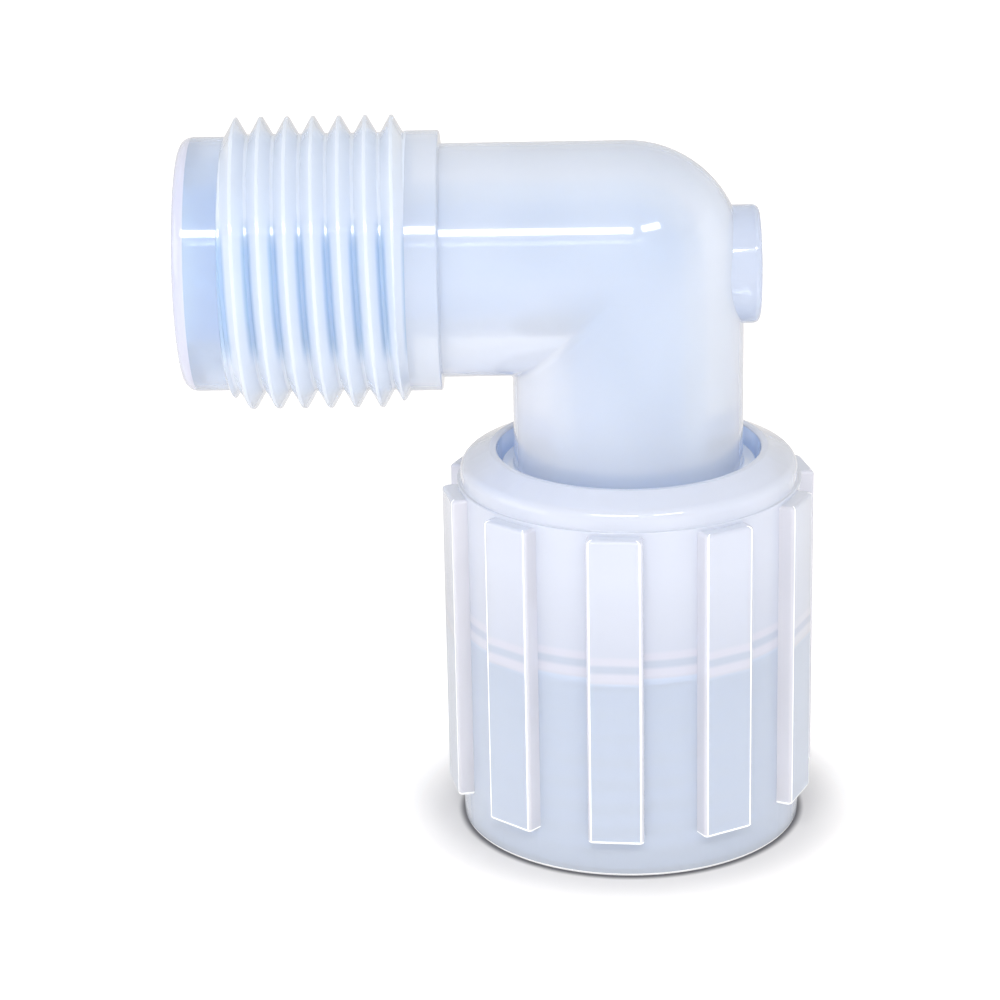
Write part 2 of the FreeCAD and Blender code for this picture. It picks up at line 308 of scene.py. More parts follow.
def add(tree, kind, links=(), inputs=None, **settings):
    """Adds a node with its settings and input values, and links other outputs into it."""
    node = tree.nodes.new(kind)
    for name, value in settings.items():
        setattr(node, name, value)
    for name, value in (inputs or {}).items():
        node.inputs[name].default_value = value
    for source, name in links:
        tree.links.new(source, node.inputs[name])
    return node


# materials

# streaks of milkier plastic: their size, and how much clearer or milkier they are
FLOW_SIZE = 9 * MM
FLOW = 0.04

# most values of the noise lie between these two
NOISE_LOW, NOISE_HIGH = 0.3, 0.7

# a Mix node's names repeat, so its sockets for two colours and their mixture go by number
FIRST_COLOUR, SECOND_COLOUR, MIXTURE = 6, 7, 2


def moulded_pfa(name, tint, clear=0.6, rough=0.15, painted_glow=0.0, coat=1.6):
    """Natural PFA, injection moulded.

    To the eye: a glossy skin with crisp highlights, over a milky wall that lets light through and
    blurs what lies behind it. The more walls the light crosses, the bluer it gets. clear is the share
    of the light that goes through, painted_glow is painted light, an emission that lights the wall up
    in its own tint with no lamp, and coat is the skin's refractive index, which is high where an edge
    catches the light.
    """
    material = bpy.data.materials.new(name)
    material.use_nodes = True
    tree = material.node_tree
    tree.nodes.clear()
    where = add(tree, "ShaderNodeTexCoord").outputs["Object"]
    flow = add(tree, "ShaderNodeTexNoise", [(where, "Vector")],
               {"Scale": 1 / FLOW_SIZE, "Detail": 0.0})
    milk = add(tree, "ShaderNodeMapRange", [(flow.outputs["Fac"], "Value")],
               {"From Min": NOISE_LOW, "From Max": NOISE_HIGH,
                "To Min": clear + FLOW, "To Max": clear - FLOW})
    # painted light: the Emission Strength lights the wall up in its own tint, with no lamp
    shader = add(tree, "ShaderNodeBsdfPrincipled", [(milk.outputs[0], "Transmission Weight")],
                 {"Base Color": tint[:], "Roughness": rough, "IOR": 1.35,
                  "Coat Weight": 1.0, "Coat IOR": coat, "Coat Roughness": 0.04,
                  "Emission Color": tint[:], "Emission Strength": painted_glow})
    add(tree, "ShaderNodeOutputMaterial", [(shader.outputs[0], "Surface")])
    return material


def zone_by_height(material, bands, zone, clear, painted_glow):
    """Tints the nut's wall by height: bluer and clearer below the zone's height, with painted light
    lines and painted shade where the flange's rims lie behind the wall.

    A band is a height and its tint. clear and painted_glow hold the value low on the nut and the value
    high on it; painted_glow is painted light, strongest at the nut's foot.
    """
    tree = material.node_tree
    shader = tree.nodes["Principled BSDF"]
    where = add(tree, "ShaderNodeTexCoord").outputs["Object"]
    height = add(tree, "ShaderNodeSeparateXYZ", [(where, 0)]).outputs["Z"]
    low, high = bands[0][0], bands[-1][0]
    along = add(tree, "ShaderNodeMapRange", [(height, "Value")], {"From Min": low, "From Max": high})
    # the bands carry the tints, and the painted light lines and painted shade of the flange's rims
    stripes = add(tree, "ShaderNodeValToRGB", [(along.outputs[0], "Fac")])
    stops = stripes.color_ramp.elements
    while len(stops) < len(bands):
        stops.new(1.0)
    for stop, (level, tint) in zip(stops, bands):
        stop.position = (level - low) / (high - low)
        stop.color = tint[:]
    tree.links.new(stripes.outputs["Color"], shader.inputs["Base Color"])
    blend = 0.3 * MM
    shown = add(tree, "ShaderNodeMapRange", [(height, "Value")],
                {"From Min": zone - blend, "From Max": zone + blend,
                 "To Min": clear[0], "To Max": clear[1]})
    tree.links.new(shown.outputs[0], shader.inputs["Transmission Weight"])
    # painted light: an emission that fades from the nut's foot up to the zone's height
    lit = add(tree, "ShaderNodeMapRange", [(height, "Value")],
              {"From Min": 0.0, "From Max": zone, "To Min": painted_glow[0], "To Max": painted_glow[1]})
    tree.links.new(lit.outputs[0], shader.inputs["Emission Strength"])
    return material


def distance_from(tree, point, axes):
    """How far the shaded place is from a point, in the object's own frame and along some axes only."""
    where = add(tree, "ShaderNodeTexCoord").outputs["Object"]
    offset = add(tree, "ShaderNodeVectorMath", [(where, 0)], {1: point}, operation="SUBTRACT")
    flat = add(tree, "ShaderNodeVectorMath", [(offset.outputs[0], 0)], {1: axes}, operation="MULTIPLY")
    return add(tree, "ShaderNodeVectorMath", [(flat.outputs[0], 0)], operation="LENGTH").outputs["Value"]


def paint_light_at_corner(material, corner, tint):
    """Paints light on the elbow's wall: an emission, faint all over, that grows towards the bend's
    inside corner.
    """
    tree = material.node_tree
    shader = tree.nodes["Principled BSDF"]
    reach = distance_from(tree, corner, (1, 0, 1))
    edge, middle = 10 * MM, 2 * MM
    # painted light: it brightens the undersides near the inside corner, where the moulding is thickest,
    # as light thrown up from the table would
    painted_glow = add(tree, "ShaderNodeMapRange", [(reach, "Value")],
               {"From Min": edge, "From Max": middle, "To Min": 0.045, "To Max": 0.11},
               interpolation_type="SMOOTHSTEP")
    shader.inputs["Emission Color"].default_value = tint[:]
    tree.links.new(painted_glow.outputs[0], shader.inputs["Emission Strength"])
    return material


def whiten_crests(material, axis_height, form, groove):
    """Tints the threaded leg: milky crests, and clear, blue grooves where the bore lies behind them."""
    tree = material.node_tree
    shader = tree.nodes["Principled BSDF"]
    axis = (0, 0, axis_height)
    milky_top = 0.75 * MM
    bore_edge, bore_middle = 6.5 * MM, 3.5 * MM
    radius = distance_from(tree, axis, (0, 1, 1))
    in_groove = add(tree, "ShaderNodeMapRange", [(radius, "Value")],
                    {"From Min": form.radius - milky_top, "From Max": form.radius - form.depth},
                    interpolation_type="SMOOTHSTEP")
    off_level = distance_from(tree, axis, (0, 0, 1))
    before_bore = add(tree, "ShaderNodeMapRange", [(off_level, "Value")],
                      {"From Min": bore_edge, "From Max": bore_middle}, interpolation_type="SMOOTHSTEP")
    shown = add(tree, "ShaderNodeMath", [(in_groove.outputs[0], 0), (before_bore.outputs[0], 1)],
                operation="MULTIPLY").outputs[0]
    white = shader.inputs["Base Color"].default_value[:]
    tinted = add(tree, "ShaderNodeMix", [(shown, 0)],
                 {FIRST_COLOUR: white, SECOND_COLOUR: groove[:]}, data_type="RGBA")
    tree.links.new(tinted.outputs[MIXTURE], shader.inputs["Base Color"])
    clear = add(tree, "ShaderNodeMapRange", [(shown, "Value")], {"To Min": 0.2, "To Max": 0.45})
    tree.links.new(clear.outputs[0], shader.inputs["Transmission Weight"])
    return material


# the elbow

# columns of the elbow's skin and of the pad's
COLUMNS = 180
PAD_COLUMNS = 96

# places in the elbow's list of materials
WALL, BORE, SLEEVE, SOCKET, THREAD, NOSE, RIM = range(7)

# the nose's rim has its own tint over this share of its round
RIM_SHARE = 0.9

# the pad reaches into the bend's wall, down to this share of its face's distance
PAD_ROOT = 0.65


class SkinOfElbow:
    """Rows of the elbow's closed skin, out along its outside and back through its bore."""

    def __init__(self, sizes, form):
        self.s = sizes
        self.form = form
        self.turn = np.linspace(0, FULL_TURN, COLUMNS + 1)
        self.rows = []
        self.marks = []

    def on_leg(self, along, out, mark=WALL):
        """A ring round the leg's axis, at a distance from the vertical axis."""
        flat = np.zeros_like(self.turn)
        row = np.stack([flat - along, -out * np.sin(self.turn),
                        self.s.height + out * np.cos(self.turn)], axis=1)
        self.rows.append(row)
        self.marks.append(mark)

    def on_spigot(self, height, out, mark=WALL):
        """A ring round the vertical axis, at a height."""
        flat = np.zeros_like(self.turn)
        row = np.stack([out * np.cos(self.turn), -out * np.sin(self.turn), flat + height], axis=1)
        self.rows.append(row)
        self.marks.append(mark)

    def bend(self, out, corner, backwards=False, mark=WALL, steps=18):
        """Rings round the bend: a ball outside and a small round in the inside corner."""
        aside = out * np.cos(self.turn)
        radius = np.maximum(aside, corner)
        rings = []
        for step in range(steps + 1):
            angle = math.pi / 2 * step / steps
            rings.append(np.stack([
                aside - radius + radius * math.sin(angle),
                -out * np.sin(self.turn),
                self.s.height + aside - radius + radius * math.cos(angle)], axis=1))
        self.rows += reversed(rings) if backwards else rings
        self.marks += [mark] * len(rings)

    def thread(self):
        """The helical ridge between the nose and the collar."""
        s = self.s
        form = self.form
        slope = math.tan(form.flank)
        advance = form.pitch * self.turn / FULL_TURN
        turns = math.ceil((s.band_outer - s.band_inner) / form.pitch) + 2
        for number in range(-1, turns):
            for offset in thread_rows(form, form.depth):
                crest = -s.first_crest + number * form.pitch + offset + advance
                x = np.clip(crest, -s.band_outer, -s.band_inner)
                ridge = form.radius - thread_depth(form, form.depth, x + s.first_crest - advance)
                outer_flank = s.nose + (x + s.band_outer) / slope
                inner_flank = s.collar - (x + s.band_inner) / slope
                out = np.minimum(ridge, np.minimum(outer_flank, inner_flank))
                # the last groove ends on the collar and never goes below it
                floor = np.where(x > -s.band_inner - form.root_flat, s.collar, 0)
                self.on_leg(-x, np.maximum(out, floor), THREAD)

    def outside(self):
        """From the mouth over the nose, thread, collar, bend and spigot to the sealing face."""
        s = self.s
        nose = [(s.nose_end, s.socket + s.mouth_bevel, 0), (s.nose_end, s.nose, s.nose_round),
                (s.band_outer, s.nose, 0)]
        rim_start = s.nose_end - RIM_SHARE * s.nose_round
        for along, out in soften(nose):
            on_rim = along > rim_start and out > s.socket + s.mouth_bevel
            self.on_leg(along, out, RIM if on_rim else NOSE)
        self.thread()
        collar = [(s.band_inner, s.collar, 0), (s.collar_face, s.collar, s.edge),
                  (s.collar_face, s.pipe, s.edge / 2), (s.pipe + s.corner, s.pipe, 0)]
        for along, out in soften(collar)[:-1]:
            self.on_leg(along, out)
        self.bend(s.pipe, s.corner)
        spigot = [(s.height - s.pipe - s.corner, s.pipe, 0), (s.sleeve_top, s.pipe, s.edge),
                  (s.sleeve_top, s.sleeve, s.edge), (s.flange_top, s.sleeve, s.edge),
                  (s.flange_top, s.flange, s.edge), (s.flange_foot + s.flange_bevel, s.flange, 0),
                  (s.flange_foot, s.flange - s.flange_bevel, 0),
                  (s.flange_foot, s.bore + s.mouth_bevel, 0)]
        for height, out in soften(spigot)[1:]:
            self.on_spigot(height, out, SLEEVE if height < s.sleeve_top + s.edge else WALL)

    def inside(self):
        """Back up the spigot's bore, round the bend and out through the tube socket."""
        s = self.s
        stop = s.nose_end - s.socket_depth
        self.on_spigot(s.flange_foot + s.mouth_bevel, s.bore, BORE)
        self.bend(s.bore, s.edge, backwards=True, mark=BORE)
        socket = [(s.bore, s.bore, 0), (stop - s.socket + s.bore, s.bore, s.edge),
                  (stop, s.socket, s.edge), (s.nose_end - s.mouth_bevel, s.socket, 0),
                  (s.nose_end, s.socket + s.mouth_bevel, 0)]
        for along, out in soften(socket)[1:]:
            self.on_leg(along, out, BORE if along < stop - s.edge else SOCKET)


def gate_pad(sizes):
    """The round pad on the outside of the bend, as a closed mesh that reaches into the wall."""
    turn = np.linspace(0, FULL_TURN, PAD_COLUMNS + 1)
    root = PAD_ROOT * sizes.gate_face
    corners = [(root, 0, 0), (root, sizes.gate, 0), (sizes.gate_face, sizes.gate, sizes.gate_round),
               (sizes.gate_face, 0, 0)]
    rows = []
    for along, out in soften(corners, steps=8):
        rows.append(np.stack([np.zeros_like(turn) + along, -out * np.sin(turn),
                              sizes.height - sizes.gate_drop + out * np.cos(turn)], axis=1))
    mesh = skin("gate_pad", rows, [0] * len(rows))
    close_up(mesh)
    return mesh


def elbow_materials(sizes, form, look):
    """The elbow's materials, in the order of their marks."""
    inside_corner = (-sizes.pipe, 0, sizes.height - sizes.pipe)
    wall = moulded_pfa("moulded_pfa_wall", look.wall, clear=0.5)
    # painted light: the thread and the nose light themselves up a little through their emission
    thread = moulded_pfa("moulded_pfa_thread", look.wall, clear=0.5, painted_glow=0.04)
    return (paint_light_at_corner(wall, inside_corner, look.corner),
            moulded_pfa("moulded_pfa_bore", look.bore, clear=0.5, rough=0.3),
            moulded_pfa("moulded_pfa_sleeve", look.sleeve, clear=0.2),
            moulded_pfa("moulded_pfa_socket", look.socket, clear=0.6, rough=0.3),
            whiten_crests(thread, sizes.height, form, look.groove),
            moulded_pfa("moulded_pfa_nose", look.nose, clear=0.55, painted_glow=0.03),
            moulded_pfa("moulded_pfa_edge", look.rim, clear=0.2))


class MakeElbow(bpy.types.Operator):
    """Makes the elbow moulding"""
    bl_idname = "tube_elbow.make_elbow"
    bl_label = "Make the elbow"

    def execute(self, context):
        sizes = context.scene.elbow_sizes
        form = context.scene.thread_sizes
        maker = SkinOfElbow(sizes, form)
        maker.outside()
        maker.inside()
        mesh = skin("elbow_body_skin", maker.rows, maker.marks)
        close_up(mesh)
        look = context.scene.finish
        elbow = place("elbow_moulding", mesh, *elbow_materials(sizes, form, look))
        # painted light: the pad lights itself up a little through its emission
        pad = place("gate_pad", gate_pad(sizes),
                    moulded_pfa("moulded_pfa_gate", look.gate, clear=0.5, painted_glow=0.03))
        union = elbow.modifiers.new("gate", "BOOLEAN")
        union.operation = "UNION"
        union.solver = "EXACT"
        union.material_mode = "TRANSFER"
        union.object = pad
        settle(elbow)
        bpy.data.objects.remove(pad)
        even_shading(elbow)
        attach(elbow, "elbow")
        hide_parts("elbow_body")
        return {"FINISHED"}


# the nut

# the first rib faces the front, -Y, before the nut is turned
FRONT = -math.pi / 2

# places in the nut's list of materials
NUT_WALL, NUT_BORE, NUT_PAINTED_HIGHLIGHT, NUT_SIDE, NUT_THREAD = range(5)

# steps round a rib's edge, and across half of a gap
ROUND_STEPS = 4
GAP_STEPS = 4

# angles round a rib's edge
BOW = [math.pi / 2 * k / ROUND_STEPS for k in range(ROUND_STEPS + 1)]


def nut_columns(sizes):
    """Columns of one sector, from one gap's middle over a rib to the next gap's middle.

    A column is its kind and its place. A gap column has its angle, a side column its side of the rib
    and its share of the way out, a corner column its side and its angle round the corner, and a face
    column its share of the face's half width.
    """
    half_sector = math.pi / sizes.rib_count
    root = math.asin((sizes.rib_half - sizes.edge) / sizes.skirt)
    gap = half_sector - root
    columns = [("gap", -half_sector + gap * k / GAP_STEPS) for k in range(GAP_STEPS)]
    columns += [("side", -1, 0.0), ("side", -1, 0.5)]
    columns += [("corner", -1, angle) for angle in BOW]
    columns += [("face", share) for share in (-0.6, -0.2, 0.2, 0.6)]
    columns += [("corner", 1, angle) for angle in reversed(BOW)]
    columns += [("side", 1, 0.5), ("side", 1, 0.0)]
    columns += [("gap", root + gap * (k + 1) / GAP_STEPS) for k in range(GAP_STEPS)]
    return columns


def rib_row(sizes, height, inset):
    """One row of a sector where the rib stands out, drawn in by inset on its three free sides."""
    half = sizes.rib_half - inset
    face = sizes.rib_face - inset
    corner = sizes.edge
    row = []
    for kind, *where in nut_columns(sizes):
        if kind == "gap":
            row.append((sizes.skirt * math.cos(where[0]), sizes.skirt * math.sin(where[0]), height))
            continue
        if kind == "side":
            across = where[0] * half
            foot = math.sqrt(sizes.skirt ** 2 - half ** 2)
            out = foot + (face - corner - foot) * where[1]
        elif kind == "corner":
            across = where[0] * (half - corner + corner * math.cos(where[1]))
            out = face - corner + corner * math.sin(where[1])
        else:
            across = where[0] * (half - corner)
            out = face
        row.append((out, across, height))
    return np.array(row)


def column_angles(sizes):
    """Where the columns of a sector stand on the plain wall."""
    half = sizes.rib_half - sizes.edge
    angles = []
    for kind, *where in nut_columns(sizes):
        if kind == "gap":
            angles.append(where[0])
        elif kind == "side":
            angles.append(where[0] * math.asin(half / sizes.skirt))
        elif kind == "corner":
            across = half - sizes.edge + sizes.edge * math.cos(where[1])
            angles.append(where[0] * math.asin(across / sizes.skirt))
        else:
            angles.append(math.asin(where[0] * (half - sizes.edge) / sizes.skirt))
    return np.array(angles)


def ring_row(angles, height, out):
    """One row on a round wall."""
    return np.stack([out * np.cos(angles), out * np.sin(angles),
                     np.zeros_like(angles) + height], axis=1)


def nut_sector(sizes):
    """One sector of the nut's skin, from the mouth's rim up over the rib and down to the seat."""
    s = sizes
    angles = column_angles(s)
    rows = []
    foot = [(0, s.mouth, 0), (0, s.skirt, s.edge), (s.rib_foot, s.skirt, 0)]
    rows += [ring_row(angles, height, out) for height, out in soften(foot)]
    rib_start = len(rows)
    rows += [rib_row(s, s.rib_foot + s.edge * (1 - math.cos(a)), s.edge * (1 - math.sin(a)))
             for a in BOW]
    rows += [rib_row(s, s.rib_top - s.edge * (1 - math.cos(a)), s.edge * (1 - math.sin(a)))
             for a in reversed(BOW)]
    tight = 0.1 * MM
    top = [(s.rib_top, s.skirt, 0), (s.ring_foot, s.skirt, tight), (s.ring_foot, s.ring, tight),
           (s.height - s.ring_crown, s.ring, s.ring_round), (s.height, s.hole + s.ring_lip, s.edge),
           (s.height, s.hole, s.edge / 2), (s.shoulder, s.hole, 0)]
    rows += [ring_row(angles, height, out) for height, out in soften(top, steps=6)]
    room = [(s.shoulder, s.chamber), (s.seat, s.chamber)]
    rows += [ring_row(angles, height, out) for height, out in room]
    hole_rows = 2
    inner_rows = hole_rows + len(room)
    marks = [NUT_WALL] * (len(rows) - inner_rows) + [NUT_BORE] * inner_rows
    mesh = skin("nut_sector", rows, marks)
    mark_rib_edges(mesh, s, len(rows) - 1, rib_start)
    return mesh


def mark_rib_edges(mesh, sizes, bands, rib_start):
    """Marks the faces on the rib's sides, and the ones that get a painted highlight: on its edges and on
    the foot's round.
    """
    grid = np.zeros(len(mesh.polygons), dtype=int)
    mesh.polygons.foreach_get("material_index", grid)
    grid = grid.reshape(bands, -1)
    kinds = [kind for kind, *where in nut_columns(sizes)]
    pairs = list(zip(kinds, kinds[1:]))
    on_rib = np.array(["gap" not in pair for pair in pairs])
    on_face = np.array(["face" in pair for pair in pairs])
    on_side = on_rib & ~on_face
    beside_face = on_side & (np.roll(on_face, 1) | np.roll(on_face, -1))
    rib = slice(rib_start, rib_start + 2 * ROUND_STEPS + 1)
    rib_bottom = slice(rib_start + 1, rib_start + ROUND_STEPS)
    upper_foot_round = slice(rib_start - 5, rib_start - 2)
    grid[rib, on_side] = NUT_SIDE
    # painted highlight: the bands beside each rib's face, the rib's lower round and the upper part of
    # the foot's round
    grid[rib, beside_face] = NUT_PAINTED_HIGHLIGHT
    grid[rib_bottom, on_rib] = NUT_PAINTED_HIGHLIGHT
    grid[upper_foot_round, :] = NUT_PAINTED_HIGHLIGHT
    mesh.polygons.foreach_set("material_index", grid.ravel())


def nut_thread(sizes, form):
    """The nut's inner thread, from the seat down to the mouth's rim, as one full turn."""
    s = sizes
    step = FULL_TURN / s.rib_count
    sector = column_angles(s)
    angles = np.concatenate([sector + step * k for k in range(s.rib_count)])
    depth = s.thread_root - s.thread_crest
    advance = form.pitch * (angles + FRONT) / FULL_TURN
    rows = [ring_row(angles, s.seat, s.chamber)]
    for number in range(math.ceil(s.seat / form.pitch) + 2, -2, -1):
        for offset in reversed(thread_rows(form, depth)):
            z = np.clip((number - 0.5) * form.pitch + offset + advance, 0, s.seat)
            out = s.thread_crest + thread_depth(form, depth, z + 0.5 * form.pitch - advance)
            out = np.maximum(out, s.mouth - z)
            row = ring_row(angles, 0, 1) * out[:, None]
            row[:, 2] = z
            rows.append(row)
    return skin("nut_thread", rows, [NUT_THREAD] * len(rows))


def repeat_tree():
    """Node tree that repeats a sector round the Z axis and welds it into one skin.

    It sets the wall's material on the faces marked as wall. The others keep their own.
    """
    tree = bpy.data.node_groups.new("repeat_round_axis", "GeometryNodeTree")
    face = tree.interface
    face.new_socket("Geometry", in_out="INPUT", socket_type="NodeSocketGeometry")
    face.new_socket("Count", in_out="INPUT", socket_type="NodeSocketInt")
    face.new_socket("Weld distance", in_out="INPUT", socket_type="NodeSocketFloat")
    face.new_socket("Wall", in_out="INPUT", socket_type="NodeSocketMaterial")
    face.new_socket("Geometry", in_out="OUTPUT", socket_type="NodeSocketGeometry")
    given = add(tree, "NodeGroupInput").outputs
    index = add(tree, "GeometryNodeInputIndex").outputs[0]
    share = add(tree, "ShaderNodeMath", [(index, 0), (given["Count"], 1)], operation="DIVIDE")
    angle = add(tree, "ShaderNodeMath", [(share.outputs[0], 0)], {1: FULL_TURN}, operation="MULTIPLY")
    turn = add(tree, "ShaderNodeCombineXYZ", [(angle.outputs[0], "Z")])
    points = add(tree, "GeometryNodeMeshLine", [(given["Count"], "Count")],
                 {"Offset": (0, 0, 0)})
    copies = add(tree, "GeometryNodeInstanceOnPoints",
                 [(points.outputs[0], "Points"), (given["Geometry"], "Instance"),
                  (turn.outputs[0], "Rotation")])
    real = add(tree, "GeometryNodeRealizeInstances", [(copies.outputs[0], "Geometry")])
    welded = add(tree, "GeometryNodeMergeByDistance",
                 [(real.outputs[0], "Geometry"), (given["Weld distance"], "Distance")])
    side = add(tree, "GeometryNodeInputMaterialIndex")
    # only the wall's mark, 0, is less than a half
    plain = add(tree, "ShaderNodeMath", [(side.outputs[0], 0)], {1: 0.5}, operation="LESS_THAN")
    wall = add(tree, "GeometryNodeSetMaterial",
               [(welded.outputs[0], "Geometry"), (plain.outputs[0], "Selection"),
                (given["Wall"], "Material")])
    add(tree, "NodeGroupOutput", [(wall.outputs[0], "Geometry")])
    return tree


def nut_materials(sizes, look):
    """The nut's materials, in the order of their marks.

    The flange's rims are painted as light lines with painted shade between them: millimetres over
    the zone's height, and a tint.
    """
    lines = ((-0.1, look.nut_low), (0.1, look.flange_painted_light), (0.75, look.flange_painted_light), (1.05, look.flange_painted_shade),
             (1.45, look.flange_painted_shade), (1.7, look.flange_painted_light), (2.1, look.flange_painted_light), (2.4, look.nut_middle),
             (9.0, look.nut))
    bands = [(sizes.zone + up * MM, tint) for up, tint in lines]
    wall = moulded_pfa("moulded_pfa_nut_wall", look.nut, rough=0.1)
    return (zone_by_height(wall, bands, sizes.zone, clear=(0.45, 0.35), painted_glow=(0.07, 0.015)),
            # painted light: the nut's hole and room light themselves up through their emission
            moulded_pfa("moulded_pfa_nut_bore", look.nut_bore, clear=0.15, rough=0.1, painted_glow=0.14),
            # painted highlight: the white edge material lights itself up, on the ribs' edges and the
            # foot's round
            moulded_pfa("moulded_pfa_nut_edge_painted_highlight", look.edge, clear=0.04, painted_glow=0.25, coat=1.9),
            moulded_pfa("moulded_pfa_rib_side", look.rib_side, clear=0.25),
            moulded_pfa("moulded_pfa_nut_thread", look.nut_thread, clear=0.6, rough=0.4))


class MakeNut(bpy.types.Operator):
    """Makes the swivel nut with its ribs and its inner thread"""
    bl_idname = "tube_elbow.make_nut"
    bl_label = "Make the nut"

    def execute(self, context):
        sizes = context.scene.nut_sizes
        materials = nut_materials(sizes, context.scene.finish)
        nut = place("swivel_nut_moulding", nut_sector(sizes), *materials)
        repeat = nut.modifiers.new("ribs", "NODES")
        repeat.node_group = repeat_tree()
        sockets = {item.name: item.identifier for item in repeat.node_group.interface.items_tree
                   if item.in_out == "INPUT"}
        repeat[sockets["Count"]] = sizes.rib_count
        repeat[sockets["Weld distance"]] = WELD
        repeat[sockets["Wall"]] = materials[NUT_WALL]
        settle(nut)
        joined = bmesh.new()
        joined.from_mesh(nut.data)
        joined.from_mesh(nut_thread(sizes, context.scene.thread_sizes))
        joined.to_mesh(nut.data)
        joined.free()
        close_up(nut.data)
        nut.data.transform(Matrix.Rotation(FRONT + sizes.turn, 4, "Z"))
        even_shading(nut)
        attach(nut, "nut")
        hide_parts("swivel_nut")
        return {"FINISHED"}


# the stage

# soft boxes: azimuth and elevation in degrees, distance, width and height in metres, and watts
LAMPS = {
    "key_left": (-12, 43, 0.8, 0.38, 0.08, 1.7),
    "key_right": (30, 43, 0.8, 0.24, 0.08, 0.8),
    "side_fill": (-78, 8, 0.9, 0.7, 0.6, 1.3),
    "far_side_fill": (95, 8, 0.9, 0.6, 0.6, 0.3),
    "front_fill": (0, 4, 0.9, 1.2, 0.8, 0.4),
}

# where the soft boxes aim
LAMP_AIM = Vector((-5, 0, 30)) * MM

# width of the camera's film, in millimetres
FILM = 36

# half of the table's side, in metres
TABLE_HALF = 2.0


def direction(azimuth, elevation):
    """The way from the fitting to a camera or lamp. Azimuth 0 is the front, -Y."""
    level = math.cos(elevation)
    return Vector((math.sin(azimuth) * level, -math.cos(azimuth) * level, math.sin(elevation)))


def lamp(name, azimuth, elevation, distance, width, height, watts):
    """A soft box that aims at the fitting."""
    light = bpy.data.lights.new(name, "AREA")
    light.shape = "RECTANGLE"
    light.size = width
    light.size_y = height
    light.energy = watts
    back = direction(math.radians(azimuth), math.radians(elevation))
    facing = back.to_track_quat("Z", "Y").to_matrix().to_4x4()
    obj = bpy.data.objects.new(name, light)
    obj.matrix_world = Matrix.Translation(LAMP_AIM + back * distance) @ facing
    bpy.context.collection.objects.link(obj)


def make_camera(stage):
    """The camera, at the photograph's angle and distance."""
    back = direction(stage.azimuth, stage.elevation)
    right = Vector((0, 0, 1)).cross(back).normalized()
    up = back.cross(right)
    level_right = math.cos(stage.roll) * right + math.sin(stage.roll) * up
    level_up = math.cos(stage.roll) * up - math.sin(stage.roll) * right
    lens = bpy.data.cameras.new("camera")
    lens.lens = stage.lens
    lens.sensor_width = FILM
    camera = bpy.data.objects.new("camera", lens)
    aim = Vector((stage.aim_x, 0, stage.aim_z))
    camera.matrix_world = (Matrix.Translation(aim + back * stage.distance)
                           @ Matrix((level_right, level_up, back)).transposed().to_4x4())
    bpy.context.collection.objects.link(camera)
    bpy.context.scene.camera = camera


def backdrop_world(level, zenith, mirrored):
    """White world: plain light on the fitting, and pure white where the camera sees past it.

    The light falls from level to zenith with height, and reflections get the mirrored share of it.
    """
    world = bpy.data.worlds.new("white_room")
    world.use_nodes = True
    tree = world.node_tree
    tree.nodes.clear()
    rays = add(tree, "ShaderNodeLightPath").outputs
    seen = add(tree, "ShaderNodeMath", [(rays["Is Camera Ray"], 0), (rays["Is Transmission Ray"], 1)],
               operation="MAXIMUM")
    way = add(tree, "ShaderNodeTexCoord").outputs["Generated"]
    rise = add(tree, "ShaderNodeSeparateXYZ", [(way, 0)]).outputs["Z"]
    dome = add(tree, "ShaderNodeMapRange", [(rise, "Value")], {"To Min": level, "To Max": zenith})
    bright = add(tree, "ShaderNodeMapRange", [(seen.outputs[0], "Value"), (dome.outputs[0], "To Min")],
                 {"To Max": 1.0})
    share = add(tree, "ShaderNodeMapRange", [(rays["Is Glossy Ray"], "Value")],
                {"To Min": 1.0, "To Max": mirrored})
    strength = add(tree, "ShaderNodeMath", [(bright.outputs[0], 0), (share.outputs[0], 1)],
                   operation="MULTIPLY")
    light = add(tree, "ShaderNodeBackground", [(strength.outputs[0], "Strength")],
                {"Color": srgb("#FFFFFF")})
    add(tree, "ShaderNodeOutputWorld", [(light.outputs[0], "Surface")])
    bpy.context.scene.world = world


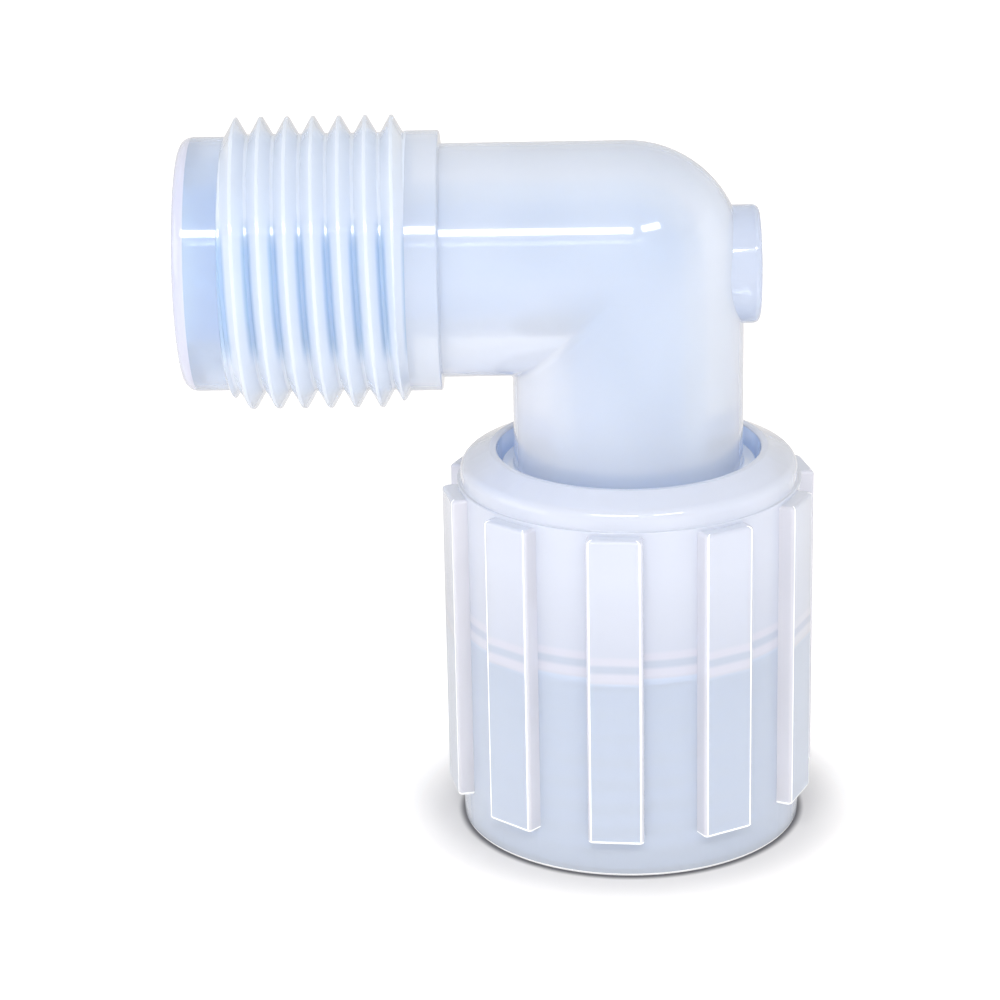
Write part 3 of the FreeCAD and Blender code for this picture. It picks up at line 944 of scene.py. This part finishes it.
def white_table(sheet, painted_contact_shadow):
    """Matt white acrylic sheet: no grain to see, a soft shadow, and a painted dark shadow line round the
    nut's foot.

    Away from the fitting the sheet lights itself up to pure white, painted light that fades out just
    outside the foot, so that it keeps the shadow there and hides the others, but not in reflections.
    """
    material = bpy.data.materials.new("matt_white_acrylic")
    material.use_nodes = True
    tree = material.node_tree
    tree.nodes.clear()
    where = add(tree, "ShaderNodeTexCoord").outputs["Object"]
    reach = add(tree, "ShaderNodeVectorMath", [(where, 0)], operation="LENGTH").outputs["Value"]
    # painted shadow: the table turns to the contact colour within these distances of the axis
    dark_end, plain_start = 14.3 * MM, 15.0 * MM
    lift_start, lift_end = 14.6 * MM, 23 * MM
    # painted light: the table lights itself up from the foot outwards, which hides the fitting's other
    # shadows
    painted_lift = add(tree, "ShaderNodeMapRange", [(reach, "Value")],
               {"From Min": lift_start, "From Max": lift_end, "To Min": 0.0, "To Max": 0.46},
               interpolation_type="SMOOTHSTEP")
    mirrored = add(tree, "ShaderNodeLightPath").outputs["Is Glossy Ray"]
    shown = add(tree, "ShaderNodeMapRange", [(mirrored, "Value"), (painted_lift.outputs[0], "To Min")],
                {"To Max": 0.0})
    off_painted_shadow = add(tree, "ShaderNodeMapRange", [(reach, "Value")],
                      {"From Min": dark_end, "From Max": plain_start}, interpolation_type="SMOOTHSTEP")
    colour = add(tree, "ShaderNodeMix", [(off_painted_shadow.outputs[0], 0)],
                 {FIRST_COLOUR: painted_contact_shadow[:], SECOND_COLOUR: sheet[:]}, data_type="RGBA")
    shader = add(tree, "ShaderNodeBsdfPrincipled",
                 [(colour.outputs[MIXTURE], "Base Color"), (shown.outputs[0], "Emission Strength")],
                 {"Roughness": 0.8, "Specular IOR Level": 0.0, "Emission Color": srgb("#FFFFFF")})
    add(tree, "ShaderNodeOutputMaterial", [(shader.outputs[0], "Surface")])
    return material


class MakeStage(bpy.types.Operator):
    """Makes the white table, the lamps and the camera"""
    bl_idname = "tube_elbow.make_stage"
    bl_label = "Make the stage"

    def execute(self, context):
        stage = context.scene.stage_sizes
        half = TABLE_HALF
        table = bpy.data.meshes.new("table")
        table.from_pydata([(-half, -half, 0), (half, -half, 0), (half, half, 0), (-half, half, 0)],
                          [], [(0, 1, 2, 3)])
        place("table", table, white_table(stage.sheet, stage.painted_contact_shadow))
        for name, setting in LAMPS.items():
            lamp(name, *setting)
        backdrop_world(level=0.9, zenith=0.74, mirrored=0.85)
        make_camera(stage)
        context.scene.view_settings.view_transform = "Standard"
        return {"FINISHED"}


# panel and registration

class ElbowPanel(bpy.types.Panel):
    """Lists the sizes, the colours and the operators"""
    bl_idname = "VIEW3D_PT_tube_elbow"
    bl_label = "Tube elbow"
    bl_space_type = "VIEW_3D"
    bl_region_type = "UI"
    bl_category = "Tube elbow"

    def draw(self, context):
        layout = self.layout
        for group in GROUPS:
            box = layout.box()
            for name in GROUPS[group].__annotations__:
                box.prop(getattr(context.scene, group), name)
        for operator in OPERATORS:
            layout.operator(operator.bl_idname)


GROUPS = {"elbow_sizes": ElbowSizes, "nut_sizes": NutSizes, "thread_sizes": ThreadSizes,
          "finish": Finish, "stage_sizes": StageSizes}
OPERATORS = (MakeElbow, MakeNut, MakeStage)


def register():
    """Adds the groups of properties, the operators and the panel."""
    for group, kind in GROUPS.items():
        bpy.utils.register_class(kind)
        setattr(bpy.types.Scene, group, bpy.props.PointerProperty(type=kind))
    for kind in (*OPERATORS, ElbowPanel):
        bpy.utils.register_class(kind)


def unregister():
    """Takes them away again, the last first."""
    for kind in (ElbowPanel, *reversed(OPERATORS)):
        bpy.utils.unregister_class(kind)
    for group, kind in reversed(GROUPS.items()):
        delattr(bpy.types.Scene, group)
        bpy.utils.unregister_class(kind)


def main():
    """Builds the scene."""
    register()
    bpy.ops.tube_elbow.make_elbow()
    bpy.ops.tube_elbow.make_nut()
    bpy.ops.tube_elbow.make_stage()


if __name__ == "__main__":
    main()
